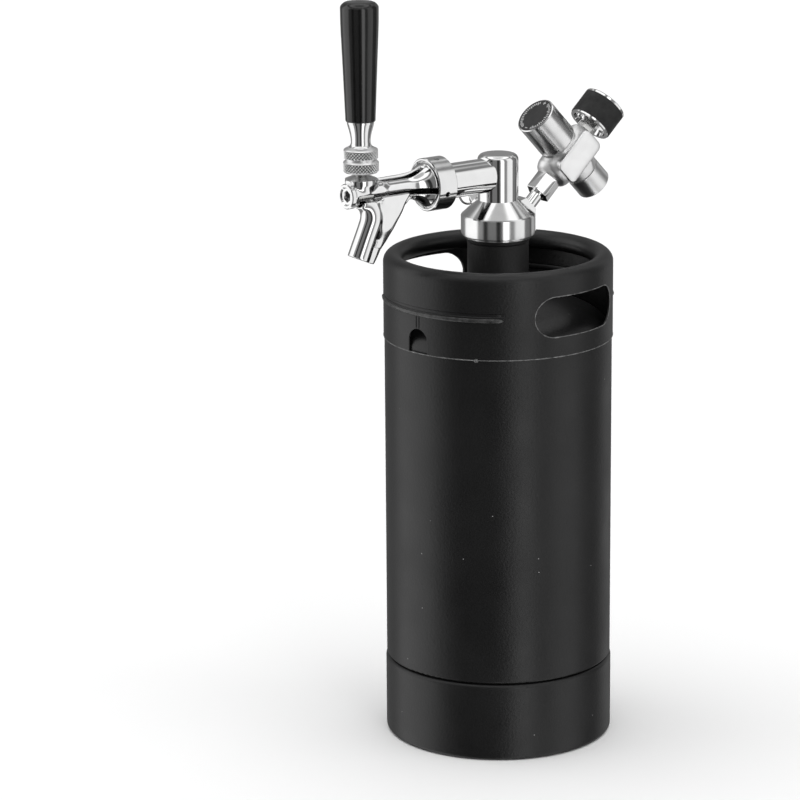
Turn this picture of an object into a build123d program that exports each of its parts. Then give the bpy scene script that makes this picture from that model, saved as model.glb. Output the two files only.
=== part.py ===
from build123d import *
import math
import os

# Five litre pressure keg with a screw-on tap head and a small gas regulator.
# Origin: centre of the keg's foot, +Z up. The tap reaches out toward -Y, the
# regulator stands up and back toward +Y, the relief valve sits on the -X side.

# keg
TANK_R = 80.0
SHEET = 1.2
CHIME_R = 80.6
CHIME_SHEET = 1.5
FOOT_SEAM_Z = 56.0
CHIME_SEAM_Z = 290.0
RIM_R = 7.0
RIM_Z = 342.5
NECK_R = 21.5
NECK_TOP_Z = 357.0
HANDHOLE_TURN = 99.3
NOTCH_TURN = 9.3
HANDHOLE_Z = 318.0
HANDHOLE_WIDE = 76.0
HANDHOLE_TALL = 28.0
GROOVE_Z = 321.3

# tap head
BELL_R = 26.0
BELL_Z = 360.0
COLUMN_R = 14.25
COLUMN_Z = 386.0
COLUMN_TOP_Z = 418.5
ARM_R = 12.15
ARM_Z = 404.0
PORT_R = 4.0

# tap
TAP_Y = -116.4
PIVOT_Z = 412.5
BALL_R = 7.0

# regulator, tilted over the gas port of the bell
TILT = 43.5
REG_Y = 61.6
REG_Z = 411.0
GAS_FOOT = -48.3

os.makedirs("parts", exist_ok=True)

ALONG = (0, math.cos(math.radians(TILT)), math.sin(math.radians(TILT)))
ACROSS = (0, -math.sin(math.radians(TILT)), math.cos(math.radians(TILT)))
BACK = (0, -ALONG[1], -ALONG[2])

# Working planes: the local y of each plane is the turning axis of its pieces.
UPRIGHT = Plane.XZ
ARM = Plane(origin=(0, 0, ARM_Z), x_dir=(1, 0, 0), z_dir=(0, 0, -1))
TAP = Plane(origin=(0, TAP_Y, 0), x_dir=(1, 0, 0), z_dir=(0, -1, 0))
GAS = Plane(origin=(0, REG_Y, REG_Z), x_dir=(1, 0, 0), z_dir=ACROSS)
KNOB = Plane(origin=(0, REG_Y, REG_Z), x_dir=(1, 0, 0), z_dir=BACK)
RELIEF = Plane(origin=(-19.5, 0, 380.0), x_dir=(0, 1, 0), z_dir=(1, 0, 1))


def turned(points, plane, mode=Mode.ADD):
    """Turn a closed outline of (radius, distance along) about the plane's local y."""
    with BuildSketch(plane) as outline:
        with BuildLine():
            Polyline(*points, close=True)
        make_face()
    revolve(outline.sketch, axis=Axis(plane.origin, plane.y_dir), mode=mode)


def tube(outer, inner, start, end, plane):
    """Plain ring or tube between two distances along the axis."""
    turned([(inner, start), (outer, start), (outer, end), (inner, end)], plane)


def rod(radius, start, end, plane, mode=Mode.ADD):
    """Plain round bar between two distances along the axis."""
    turned([(0, start), (radius, start), (radius, end), (0, end)], plane, mode)


def ball(radius, along, plane, mode=Mode.ADD):
    """Ball centred on the axis at the given distance."""
    with BuildSketch(plane) as outline:
        with BuildLine():
            CenterArc((0, along), radius, -90, 180)
            Line((0, along + radius), (0, along - radius))
        make_face()
    revolve(outline.sketch, axis=Axis(plane.origin, plane.y_dir), mode=mode)


def cross_plane(plane, along):
    """Plane square to the turning axis at the given distance along it."""
    return Plane(origin=plane.from_local_coords((0, along, 0)), x_dir=plane.x_dir, z_dir=plane.y_dir)


def coil(radius, wire, start, end, turns, plane):
    """Round-wire compression spring about the plane's axis."""
    with BuildLine() as path:
        Helix((end - start) / turns, end - start, radius,
              center=plane.from_local_coords((0, start, 0)), direction=plane.y_dir)
    with BuildSketch(path.line ^ 0) as section_face:
        Circle(wire / 2)
    sweep(section_face.sketch, path=path.line, is_frenet=True)


def save(builder, name):
    """Label the finished piece and write it out under its own name."""
    builder.part.label = name
    export_step(builder.part, "parts/" + name + ".step")


# ---------------------------------------------------------------- keg

# Pressure tank: straight wall with shallow domed ends and a flat land for the neck.
TOP_A = TANK_R - 0.9
TOP_B = 27.3
TOP_C = CHIME_SEAM_Z + 2
LOW_A = TANK_R - 2.4
LOW_B = 28.0
LOW_C = FOOT_SEAM_Z - 2
LAND_R = 24.0
LAND_Z = TOP_C + TOP_B * math.sqrt(1 - (LAND_R / TOP_A) ** 2)
with BuildPart() as tank_shell:
    with BuildSketch(UPRIGHT):
        with BuildLine():
            turn_out = math.degrees(math.acos(LAND_R / TOP_A))
            turn_in = math.degrees(math.acos(LAND_R / (TOP_A - SHEET)))
            land_in = TOP_C + (TOP_B - SHEET) * math.sin(math.radians(turn_in))
            top_out = EllipticalCenterArc((0, TOP_C), TOP_A, TOP_B, 0, arc_size=turn_out)
            top_in = EllipticalCenterArc((0, TOP_C), TOP_A - SHEET, TOP_B - SHEET, 0, arc_size=turn_in)
            low_out = EllipticalCenterArc((0, LOW_C), LOW_A, LOW_B, 270, arc_size=90)
            low_in = EllipticalCenterArc((0, LOW_C), LOW_A - SHEET, LOW_B - SHEET, 270, arc_size=90)
            Polyline(top_out @ 1, (18.5, LAND_Z), (18.5, land_in), top_in @ 1)
            Polyline(top_in @ 0, (TANK_R - SHEET, TOP_C - 4), (TANK_R - SHEET, LOW_C + 6), low_in @ 1)
            Line(low_in @ 0, low_out @ 0)
            Polyline(low_out @ 1, (LOW_A, FOOT_SEAM_Z + 0.4), (TANK_R - 1.8, FOOT_SEAM_Z + 0.4))
            RadiusArc((TANK_R - 1.8, FOOT_SEAM_Z + 0.4), (TANK_R, FOOT_SEAM_Z + 2.2), -1.8)
            Polyline((TANK_R, FOOT_SEAM_Z + 2.2), (TANK_R, CHIME_SEAM_Z), (TOP_A, CHIME_SEAM_Z), top_out @ 0)
        make_face()
    revolve(axis=Axis.Z)
save(tank_shell, "tank_shell")

# Neck: plain collar with a shoulder for the gasket and a thinner threaded mouth.
with BuildPart() as neck_collar:
    turned([(17.2, LAND_Z), (NECK_R, LAND_Z), (NECK_R, NECK_TOP_Z - 0.8), (NECK_R - 0.8, NECK_TOP_Z),
            (19.0, NECK_TOP_Z), (19.0, 366.0), (18.5, 366.5), (17.2, 366.5)], UPRIGHT)
save(neck_collar, "neck_collar")

# Top chime: skirt with a rolled-over rim, two hand holes, a drain notch and two pressed grooves.
with BuildPart() as top_chime:
    roll_mid = CHIME_R - RIM_R
    with BuildSketch(UPRIGHT):
        with BuildLine():
            Polyline((CHIME_R - CHIME_SHEET, RIM_Z), (CHIME_R - CHIME_SHEET, CHIME_SEAM_Z),
                     (CHIME_R, CHIME_SEAM_Z), (CHIME_R, RIM_Z))
            over = CenterArc((roll_mid, RIM_Z), RIM_R, 0, 235)
            under = CenterArc((roll_mid, RIM_Z), RIM_R - CHIME_SHEET, 0, 235)
            Line(over @ 1, under @ 1)
        make_face()
    revolve(axis=Axis.Z)
    with BuildSketch(Plane.XZ) as hand_slot:
        with Locations((0, HANDHOLE_Z)):
            SlotOverall(HANDHOLE_WIDE, HANDHOLE_TALL)
    for turn in (HANDHOLE_TURN, HANDHOLE_TURN + 180):
        slot = Rot(0, 0, turn) * hand_slot.sketch
        extrude(slot, amount=90, dir=(math.sin(math.radians(turn)), -math.cos(math.radians(turn)), 0),
                mode=Mode.SUBTRACT)
    with BuildSketch(Plane.XZ) as notch_arch:
        with Locations((0, CHIME_SEAM_Z + 8.5)):
            Circle(8.5)
        with Locations((0, CHIME_SEAM_Z)):
            Rectangle(17.0, 17.0)
    arch = Rot(0, 0, NOTCH_TURN) * notch_arch.sketch
    extrude(arch, amount=90, dir=(math.sin(math.radians(NOTCH_TURN)), -math.cos(math.radians(NOTCH_TURN)), 0),
            mode=Mode.SUBTRACT)
    for turn in (NOTCH_TURN, NOTCH_TURN + 180):
        with BuildSketch(Plane.XZ) as groove_round:
            with Locations((CHIME_R + 0.8, GROOVE_Z)):
                Circle(1.6)
        groove = Rot(0, 0, turn - 136) * groove_round.sketch
        revolve(groove, axis=Axis.Z, revolution_arc=92, mode=Mode.SUBTRACT)
    # lips of the hand holes and the notch, rounded over
    lips = [edge for edge in top_chime.edges()
            if edge.geom_type != GeomType.LINE and 5 < edge.length < 60
            and abs(edge.center().Z - HANDHOLE_Z) < HANDHOLE_TALL / 2 + 0.1
            and abs(edge.center().Z - GROOVE_Z) > 2]
    fillet(lips, 0.5)
save(top_chime, "top_chime")

# Foot ring: sheet ring curled in at the top against the tank and at the bottom to a flat foot.
with BuildPart() as foot_chime:
    curl = 3.0
    inner_r = CHIME_R - CHIME_SHEET
    with BuildSketch(UPRIGHT):
        with BuildLine():
            CenterArc((CHIME_R - curl, FOOT_SEAM_Z - curl), curl, 0, 90)
            CenterArc((CHIME_R - curl, FOOT_SEAM_Z - curl), curl - CHIME_SHEET, 0, 90)
            CenterArc((CHIME_R - curl, curl), curl, 270, 90)
            CenterArc((CHIME_R - curl, curl), curl - CHIME_SHEET, 270, 90)
            Line((CHIME_R, FOOT_SEAM_Z - curl), (CHIME_R, curl))
            Line((inner_r, FOOT_SEAM_Z - curl), (inner_r, curl))
            Line((CHIME_R - curl, FOOT_SEAM_Z), (CHIME_R - curl, FOOT_SEAM_Z - CHIME_SHEET))
            Polyline((CHIME_R - curl, 0), (CHIME_R - 6.0, 0), (CHIME_R - 6.0, CHIME_SHEET),
                     (CHIME_R - curl, CHIME_SHEET))
        make_face()
    revolve(axis=Axis.Z)
save(foot_chime, "foot_chime")

# ---------------------------------------------------------------- neck gasket

with BuildPart() as neck_gasket:
    tube(22.0, 19.3, NECK_TOP_Z, BELL_Z, UPRIGHT)
    fillet(neck_gasket.edges().filter_by(GeomType.CIRCLE).group_by(SortBy.RADIUS)[-1], 0.5)
save(neck_gasket, "neck_gasket")

# ---------------------------------------------------------------- tap head

# Bell: screws over the neck; two angled pads carry the gas inlet and the relief valve.
with BuildPart() as bell:
    turned([(19.3, BELL_Z), (24.2, BELL_Z), (24.2, BELL_Z + 1.0), (BELL_R, BELL_Z + 2.0), (BELL_R, 375.0),
            (BELL_R - 0.5, 375.8), (COLUMN_R, COLUMN_Z), (9.0, COLUMN_Z), (9.0, 371.0), (16.0, 368.0),
            (19.3, 368.0)], UPRIGHT)
    with BuildSketch(Plane.YZ.offset(-8.0)):
        with BuildLine():
            Polyline((21.0, BELL_Z + 1.5), (27.4, BELL_Z + 1.5), (27.4, 380.0), (20.0, 386.0),
                     (13.0, 384.0), (21.0, 375.0), close=True)
        make_face()
    extrude(amount=16.0)
    with BuildSketch(cross_plane(GAS, GAS_FOOT)):
        Rectangle(40.0, 40.0)
    extrude(amount=20.0, mode=Mode.SUBTRACT)
    rod(6.8, -2.0, 2.4, RELIEF)
    rod(3.0, -60.0, -47.0, GAS, Mode.SUBTRACT)
    rod(3.0, -20.0, 2.4, RELIEF, Mode.SUBTRACT)
    with BuildSketch(Plane.XY.offset(BELL_Z - 1)):
        Circle(19.3)
    extrude(amount=9.0, mode=Mode.SUBTRACT)
save(bell, "bell")

# Column: stands on the bell and turns the beer into the arm.
with BuildPart() as column:
    rod(COLUMN_R, COLUMN_Z, COLUMN_TOP_Z, UPRIGHT)
    fillet(column.edges().filter_by(GeomType.CIRCLE).sort_by(Axis.Z)[-1], 4.2)
    rod(PORT_R, COLUMN_Z, ARM_Z, UPRIGHT, Mode.SUBTRACT)
    rod(PORT_R, 0.0, 20.0, ARM, Mode.SUBTRACT)
    ball(PORT_R, ARM_Z, UPRIGHT, Mode.SUBTRACT)
save(column, "column")

# Arm: round bar welded into the column, with a flange under the coupling nut.
with BuildPart() as arm:
    turned([(PORT_R, 10.0), (ARM_R, 10.0), (ARM_R, 51.0), (15.0, 51.0), (15.0, 54.5), (PORT_R, 54.5)], ARM)
    rod(COLUMN_R, 380.0, 430.0, UPRIGHT, Mode.SUBTRACT)
save(arm, "arm")

# Dip tube: carries beer from the tank floor up through the bell.
with BuildPart() as dip_tube:
    tube(PORT_R, 3.1, 34.0, COLUMN_Z, UPRIGHT)
    with BuildSketch(Plane.XZ.offset(-10)):
        with BuildLine():
            Polyline((-6.0, 30.0), (6.0, 30.0), (6.0, 42.0), (-6.0, 30.0))
        make_face()
    extrude(amount=20.0, mode=Mode.SUBTRACT)
save(dip_tube, "dip_tube")

# Dip tube seal and its gland nut, both inside the bell.
with BuildPart() as dip_tube_seal:
    tube(9.0, PORT_R, 379.0, COLUMN_Z, UPRIGHT)
save(dip_tube_seal, "dip_tube_seal")

with BuildPart() as dip_tube_nut:
    tube(9.0, PORT_R, 373.0, 379.0, UPRIGHT)
save(dip_tube_nut, "dip_tube_nut")

# Coupling nut: plain ring with four spanner holes round its middle.
with BuildPart() as coupling_nut:
    turned([(ARM_R, 48.0), (17.6, 48.0), (18.4, 48.8), (18.4, 62.9), (17.8, 63.5), (16.9, 63.5),
            (16.9, 60.5), (16.0, 59.5), (16.0, 51.0), (ARM_R, 51.0)], ARM)
    for turn in (15.0, 105.0, 195.0, 285.0):
        side = (math.cos(math.radians(turn)), 0, -math.sin(math.radians(turn)))
        spot = (14.0 * side[0], -56.5, ARM_Z + 14.0 * side[2])
        with BuildSketch(Plane(origin=spot, x_dir=(0, 1, 0), z_dir=side)):
            Circle(1.9)
        extrude(amount=8.0, mode=Mode.SUBTRACT)
save(coupling_nut, "coupling_nut")

with BuildPart() as coupling_gasket:
    tube(14.0, 9.0, 54.5, 56.0, ARM)
save(coupling_gasket, "coupling_gasket")

# ---------------------------------------------------------------- tap body

# Side view of the tap, drawn as (distance forward, height).
SIDE = Plane(origin=(0, 0, 0), x_dir=(0, -1, 0), z_dir=(-1, 0, 0))
FIN = 11.0
SPOUT_R = 7.9
SPOUT_BORE = 6.2
SPOUT_END = (119.3, 359.3)
SPOUT_KNEE = (102.5, 397.2)
SPOUT_TOP = (122.0, 403.0)
with BuildPart() as tap_body:
    # flared tail, round neck and valve chamber
    with BuildSketch(ARM) as barrel:
        with BuildLine():
            Polyline((0, 56.0), (16.0, 56.0), (16.0, 59.6), (15.2, 60.4), (15.2, 63.8))
            Spline((15.2, 63.8), (10.6, 70.0), (8.0, 80.0), tangents=((-0.75, 0.66), (0, 1)))
            Polyline((8.0, 80.0), (8.0, 98.0), (8.75, 102.0), (8.75, 126.4), (0, 126.4), (0, 56.0))
        make_face()
    revolve(barrel.sketch, axis=Axis(ARM.origin, ARM.y_dir))
    # cup that holds the lever ball
    turned([(0, 404.0), (8.3, 404.0), (9.6, 408.4), (11.0, 411.6), (11.0, 415.0), (0, 415.0)], TAP)
    # fin that braces neck and spout
    with BuildSketch(SIDE.offset(-FIN / 2)) as fin:
        with BuildLine():
            Spline((74.0, 398.5), (81.6, 391.0), (89.5, 382.3), (97.6, 369.1), (107.6, 353.2))
            Polyline((107.6, 353.2), SPOUT_END, (110.0, 394.0), (110.0, 404.0), (74.0, 404.0), (74.0, 398.5))
        make_face()
    extrude(fin.sketch, amount=FIN, dir=(-1, 0, 0))
    # raised rib on top of the neck
    with BuildSketch(SIDE.offset(-3.0)) as rib:
        with BuildLine():
            Polyline((66.0, 417.5), (70.0, 415.6), (75.0, 414.2), (82.0, 413.6), (101.0, 413.2),
                     (103.5, 411.4), (103.5, 406.0), (66.0, 406.0), close=True)
        make_face()
    extrude(rib.sketch, amount=6.0, dir=(-1, 0, 0))
    # spout
    with BuildLine() as run:
        spout_line = FilletPolyline(
            *[SIDE.from_local_coords(p) for p in (SPOUT_TOP, SPOUT_KNEE, SPOUT_END)], radius=14.0)
    with BuildSketch(Plane(origin=spout_line @ 0, z_dir=spout_line % 0)) as spout_round:
        Circle(SPOUT_R)
    sweep(spout_round.sketch, path=run.line)
    # waterways
    rod(9.0, 55.0, 66.0, ARM, Mode.SUBTRACT)
    rod(5.0, 60.0, 130.0, ARM, Mode.SUBTRACT)
    with BuildSketch(Plane(origin=spout_line @ 0, z_dir=spout_line % 0)) as bore_round:
        Circle(SPOUT_BORE)
    sweep(bore_round.sketch, path=run.line, mode=Mode.SUBTRACT)
    with BuildSketch(Plane(origin=spout_line @ 1, z_dir=spout_line % 1)):
        Circle(2 * SPOUT_R)
    extrude(amount=4.0, mode=Mode.SUBTRACT)
    rod(SPOUT_R + 3, 126.4, 140.0, ARM, Mode.SUBTRACT)
    ball(BALL_R + 0.06, PIVOT_Z, TAP, Mode.SUBTRACT)
    rod(BALL_R + 0.06, PIVOT_Z, PIVOT_Z + 0.6, TAP, Mode.SUBTRACT)
    rod(9.0, PIVOT_Z + 0.6, 416.0, TAP, Mode.SUBTRACT)
save(tap_body, "tap_body")

# Front plug with a hexagon socket.
with BuildPart() as front_plug:
    rod(5.0, 122.8, 126.4, ARM)
    turned([(0, 126.4), (8.75, 126.4), (8.75, 128.8), (8.15, 129.4), (0, 129.4)], ARM)
    turned([(0, 128.2), (5.6, 128.2), (6.6, 129.5), (0, 129.5)], ARM, Mode.SUBTRACT)
    with BuildSketch(cross_plane(ARM, 129.4)):
        RegularPolygon(4.3, 6, rotation=30)
    extrude(amount=-4.4, mode=Mode.SUBTRACT)
save(front_plug, "front_plug")

# Bonnet that keeps the ball down in its cup.
with BuildPart() as tap_bonnet:
    turned([(0, PIVOT_Z + 0.6), (9.0, PIVOT_Z + 0.6), (9.0, 415.0), (11.0, 415.0), (10.0, 415.5),
            (8.8, 416.0), (5.3, 417.4), (0, 417.4)], TAP)
    ball(BALL_R + 0.06, PIVOT_Z, TAP, Mode.SUBTRACT)
    turned([(0, 415.0), (4.5, 415.0), (4.7, 416.2), (5.3, 417.5), (0, 417.5)], TAP, Mode.SUBTRACT)
save(tap_bonnet, "tap_bonnet")

# ---------------------------------------------------------------- tap lever

with BuildPart() as lever_pin:
    ball(BALL_R, PIVOT_Z, TAP)
    with BuildSketch(Plane.XY.offset(PIVOT_Z - BALL_R - 1)):
        with Locations((0, TAP_Y)):
            Circle(BALL_R + 1)
    extrude(amount=BALL_R + 1 - 3.4, mode=Mode.SUBTRACT)
    rod(1.6, ARM_Z, PIVOT_Z - 2, TAP)
    ball(2.2, ARM_Z, TAP)
    rod(2.5, PIVOT_Z, 419.4, TAP)
    rod(4.76, 419.4, 472.0, TAP)
save(lever_pin, "lever_pin")

# Two knurled rings on the lever: the wider lever ring below, the lock ring above.
with BuildPart() as lever_ring:
    turned([(4.76, 419.4), (11.0, 419.4), (11.6, 419.9), (12.25, 420.6), (12.25, 426.4), (10.4, 428.2),
            (4.76, 428.2)], TAP)
save(lever_ring, "lever_ring")

with BuildPart() as lock_ring:
    turned([(4.76, 428.2), (10.4, 428.2), (11.75, 429.4), (11.75, 434.9), (11.2, 435.6), (8.4, 437.0),
            (4.76, 437.0)], TAP)
save(lock_ring, "lock_ring")

with BuildPart() as ferrule:
    with BuildSketch(TAP) as outline:
        with BuildLine():
            Polyline((8.4, 437.0), (4.76, 437.0), (4.76, 454.5), (9.2, 454.5), (9.2, 453.0))
            Spline((9.2, 453.0), (7.6, 447.0), (6.7, 441.6), (7.0, 438.6), (8.4, 437.0))
        make_face()
    revolve(outline.sketch, axis=Axis(TAP.origin, TAP.y_dir))
save(ferrule, "ferrule")

with BuildPart() as handle_insert:
    tube(7.0, 4.76, 454.5, 474.0, TAP)
    rod(7.0, 472.0, 474.0, TAP)
save(handle_insert, "handle_insert")

with BuildPart() as handle:
    with BuildSketch(TAP) as outline:
        with BuildLine():
            Polyline((0, 474.0), (7.0, 474.0), (7.0, 454.5), (9.9, 454.5), (10.2, 455.0))
            Spline((10.2, 455.0), (11.4, 485.0), (12.6, 513.0), (13.0, 528.0), tangents=((0.04, 1), (0, 1)))
            Line((13.0, 528.0), (13.0, 532.0))
            RadiusArc((13.0, 532.0), (8.0, 535.6), -5.6)
            Polyline((8.0, 535.6), (0, 536.2), (0, 474.0))
        make_face()
    revolve(outline.sketch, axis=Axis(TAP.origin, TAP.y_dir))
save(handle, "handle")

# ---------------------------------------------------------------- tap plunger

with BuildPart() as plunger:
    rod(2.5, 61.8, 110.0, ARM)
    rod(4.94, 109.4, 121.4, ARM)
    with BuildSketch(Plane.XY.offset(405.9)):
        with Locations((0, TAP_Y + 1)):
            Rectangle(12.0, 14.0)
    extrude(amount=5.0, mode=Mode.SUBTRACT)
    with BuildSketch(Plane.XY.offset(401.4)):
        with Locations((0, TAP_Y)):
            Rectangle(5.1, 5.1)
    extrude(amount=6.0, mode=Mode.SUBTRACT)
save(plunger, "plunger")

with BuildPart() as seat_washer:
    tube(7.4, 2.5, 63.8, 66.0, ARM)
save(seat_washer, "seat_washer")

with BuildPart() as plunger_nut:
    tube(4.2, 2.5, 61.8, 63.8, ARM)
save(plunger_nut, "plunger_nut")

# ---------------------------------------------------------------- gas inlet

# Inlet tube: screwed into the bell pad, flanged under the swivel nut.
with BuildPart() as gas_tube:
    turned([(3.4, GAS_FOOT), (4.7, GAS_FOOT), (4.7, -36.0), (6.3, -36.0), (6.3, -34.0), (3.4, -34.0)], GAS)
save(gas_tube, "gas_tube")

with BuildPart() as check_poppet:
    turned([(0, -45.6), (2.6, -45.6), (2.6, -44.6), (1.0, -43.0), (1.0, -40.0), (0, -40.0)], GAS)
save(check_poppet, "check_poppet")

with BuildPart() as check_spring:
    coil(2.6, 0.5, -44.2, -36.5, 5, GAS)
save(check_spring, "check_spring")

# ---------------------------------------------------------------- relief valve

with BuildPart() as relief_body:
    with BuildSketch(cross_plane(RELIEF, 2.4)):
        RegularPolygon(7.0, 6)
    extrude(amount=5.0)
    rod(5.6, 7.4, 15.0, RELIEF)
    rod(4.4, 4.4, 15.0, RELIEF, Mode.SUBTRACT)
    rod(2.0, 2.0, 5.0, RELIEF, Mode.SUBTRACT)
save(relief_body, "relief_body")

with BuildPart() as relief_cap:
    turned([(2.3, 15.0), (5.6, 15.0), (5.6, 16.4), (4.8, 17.2), (2.3, 17.2)], RELIEF)
save(relief_cap, "relief_cap")

with BuildPart() as relief_stem:
    turned([(0, 4.4), (4.0, 4.4), (4.0, 6.4), (2.2, 6.8), (2.2, 21.0), (1.4, 22.0), (0, 22.0)], RELIEF)
    with BuildSketch(Plane(origin=RELIEF.from_local_coords((0, 20.0, 0)), x_dir=RELIEF.y_dir,
                           z_dir=RELIEF.x_dir)):
        Circle(1.15)
    extrude(amount=10.0, both=True, mode=Mode.SUBTRACT)
save(relief_stem, "relief_stem")

with BuildPart() as relief_spring:
    coil(3.3, 0.7, 9.9, 14.6, 5, RELIEF)
save(relief_spring, "relief_spring")

# Pull ring threaded through the cross hole of the stem.
RING_R = 8.5
hole_at = RELIEF.from_local_coords((0, 20.0, 0))
with BuildPart() as relief_ring:
    with BuildSketch(Plane(origin=(hole_at.X, 0, hole_at.Z), x_dir=(0, 0, 1), z_dir=(0, 1, 0))):
        Circle(0.75)
    revolve(axis=Axis((hole_at.X, 0, hole_at.Z - RING_R), (1, 0, 0)))
save(relief_ring, "relief_ring")

# ---------------------------------------------------------------- regulator

# Shield plate: length, width and corner radius.
SHIELD = (35.2, 19.6, 4.5)

# Cast body: two crossing barrels with a flat pad for the blank shield plate.
with BuildPart() as regulator_body:
    turned([(0, -23.0), (8.6, -23.0), (11.4, -21.4), (13.0, -18.0), (13.4, -12.0), (13.4, 6.0), (12.0, 13.0),
            (9.6, 18.0), (8.4, 20.5), (0, 20.5)], GAS)
    turned([(0, -18.4), (12.4, -18.4), (13.4, -12.0), (13.4, 6.0), (12.6, 12.6), (0, 12.6)], KNOB)
    rod(6.55, -33.0, -22.0, GAS)
    with BuildSketch(Plane(origin=(0, REG_Y, REG_Z), x_dir=ALONG, z_dir=(1, 0, 0))):
        RectangleRounded(SHIELD[0] - 1.0, SHIELD[1] - 1.0, SHIELD[2] - 0.5)
    extrude(amount=12.6)
    rod(14.0, 12.6, 16.0, KNOB, Mode.SUBTRACT)
    rod(9.0, 5.0, 16.0, KNOB, Mode.SUBTRACT)
    rod(2.1, -12.0, 7.0, KNOB, Mode.SUBTRACT)
    rod(6.4, -20.0, -10.0, KNOB, Mode.SUBTRACT)
    rod(1.5, -36.0, 0.0, GAS, Mode.SUBTRACT)
    rod(1.2, 0.0, 24.0, GAS, Mode.SUBTRACT)
    with BuildSketch(Plane(origin=(12.6, REG_Y, REG_Z), x_dir=ALONG, z_dir=(1, 0, 0))):
        Rectangle(80, 80)
    extrude(amount=8.0, mode=Mode.SUBTRACT)
save(regulator_body, "regulator_body")

with BuildPart() as shield_plate:
    with BuildSketch(Plane(origin=(12.6, REG_Y, REG_Z), x_dir=ALONG, z_dir=(1, 0, 0))):
        RectangleRounded(*SHIELD)
    extrude(amount=2.0)
    fillet(shield_plate.faces().sort_by(Axis.X)[-1].edges(), 0.7)
save(shield_plate, "shield_plate")

with BuildPart() as swivel_nut:
    with BuildSketch(cross_plane(GAS, -37.4)):
        RegularPolygon(9.24, 6)
    extrude(amount=14.4)
    rod(6.55, -36.06, -22.0, GAS, Mode.SUBTRACT)
    rod(4.76, -38.0, -35.0, GAS, Mode.SUBTRACT)
save(swivel_nut, "swivel_nut")

with BuildPart() as swivel_washer:
    tube(6.0, 2.2, -33.9, -33.0, GAS)
save(swivel_washer, "swivel_washer")

# Spring chamber: sleeve under the knob, with piston, spring and spring nut.
with BuildPart() as spring_sleeve:
    turned([(9.0, 12.6), (12.4, 12.6), (12.4, 13.6), (11.0, 13.6), (11.0, 32.0), (9.0, 32.0)], KNOB)
save(spring_sleeve, "spring_sleeve")

with BuildPart() as piston:
    rod(8.9, 6.6, 9.4, KNOB)
    rod(1.9, -2.0, 6.6, KNOB)
save(piston, "piston")

with BuildPart() as piston_seal:
    tube(8.98, 7.4, 5.0, 6.6, KNOB)
save(piston_seal, "piston_seal")

with BuildPart() as range_spring:
    coil(7.0, 1.3, 10.1, 22.6, 6, KNOB)
save(range_spring, "range_spring")

with BuildPart() as spring_nut:
    tube(8.95, 3.05, 26.5, 29.5, KNOB)
save(spring_nut, "spring_nut")

# Socket for the gas cartridge: smooth barrel with a threaded bore.
with BuildPart() as cartridge_socket:
    turned([(7.94, -34.8), (11.9, -34.8), (12.6, -34.1), (12.6, -18.4), (6.4, -18.4), (6.4, -20.4),
            (8.4, -20.4), (8.4, -23.4), (7.94, -23.4)], KNOB)
save(cartridge_socket, "cartridge_socket")

with BuildPart() as piercing_pin:
    turned([(2.0, -18.4), (6.4, -18.4), (6.4, -17.0), (2.0, -17.0)], KNOB)
    turned([(0.5, -22.6), (0.9, -22.4), (2.0, -20.0), (2.0, -17.0), (0.5, -17.0)], KNOB)
save(piercing_pin, "piercing_pin")

with BuildPart() as cartridge_seal:
    tube(6.4, 3.4, -20.4, -18.4, KNOB)
save(cartridge_seal, "cartridge_seal")

with BuildPart() as gas_filter:
    rod(6.3, -16.0, -11.0, KNOB)
save(gas_filter, "gas_filter")

# ---------------------------------------------------------------- regulator knob

KNOB_TOP = 42.0
with BuildPart() as knob_shell:
    turned([(11.08, 14.0), (14.2, 14.0), (14.5, 14.6), (14.5, 41.4), (13.9, KNOB_TOP), (13.6, KNOB_TOP),
            (13.4, 41.2), (0, 41.2), (0, 35.0), (11.08, 35.0)], KNOB)
    rod(3.0, 34.0, 39.0, KNOB, Mode.SUBTRACT)
save(knob_shell, "knob_shell")

with BuildPart() as knob_disc:
    rod(13.3, 41.2, 41.8, KNOB)
save(knob_disc, "knob_disc")

with BuildPart() as adjust_screw:
    rod(3.0, 16.0, 39.0, KNOB)
save(adjust_screw, "adjust_screw")

# ---------------------------------------------------------------- pressure gauge

with BuildPart() as gauge_stem:
    with BuildSketch(cross_plane(GAS, 20.5)):
        RegularPolygon(6.6, 6)
    extrude(amount=5.5)
    rod(4.5, 26.0, 31.0, GAS)
    rod(1.2, 20.5, 31.0, GAS, Mode.SUBTRACT)
save(gauge_stem, "gauge_stem")

with BuildPart() as gauge_case:
    turned([(4.5, 31.0), (12.2, 31.0), (13.0, 26.6), (15.4, 26.6), (15.4, 28.0), (14.6, 28.0), (14.6, 45.0),
            (13.6, 45.0), (13.6, 33.0), (0, 33.0), (0, 31.0)], GAS)
save(gauge_case, "gauge_case")

with BuildPart() as gauge_boot:
    tube(16.0, 14.6, 28.0, 45.0, GAS)
save(gauge_boot, "gauge_boot")

with BuildPart() as gauge_works:
    rod(8.0, 33.0, 40.0, GAS)
    rod(1.6, 40.0, 41.0, GAS)
    rod(0.8, 41.0, 42.2, GAS)
save(gauge_works, "gauge_works")

with BuildPart() as gauge_dial:
    tube(13.6, 1.6, 41.0, 41.8, GAS)
save(gauge_dial, "gauge_dial")

with BuildPart() as gauge_lens:
    rod(13.6, 44.2, 45.6, GAS)
save(gauge_lens, "gauge_lens")

with BuildPart() as gauge_bezel:
    turned([(13.6, 45.0), (16.0, 45.0), (16.0, 46.4), (15.4, 47.0), (12.8, 47.0), (12.8, 45.6), (13.6, 45.6)],
           GAS)
save(gauge_bezel, "gauge_bezel")

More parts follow.
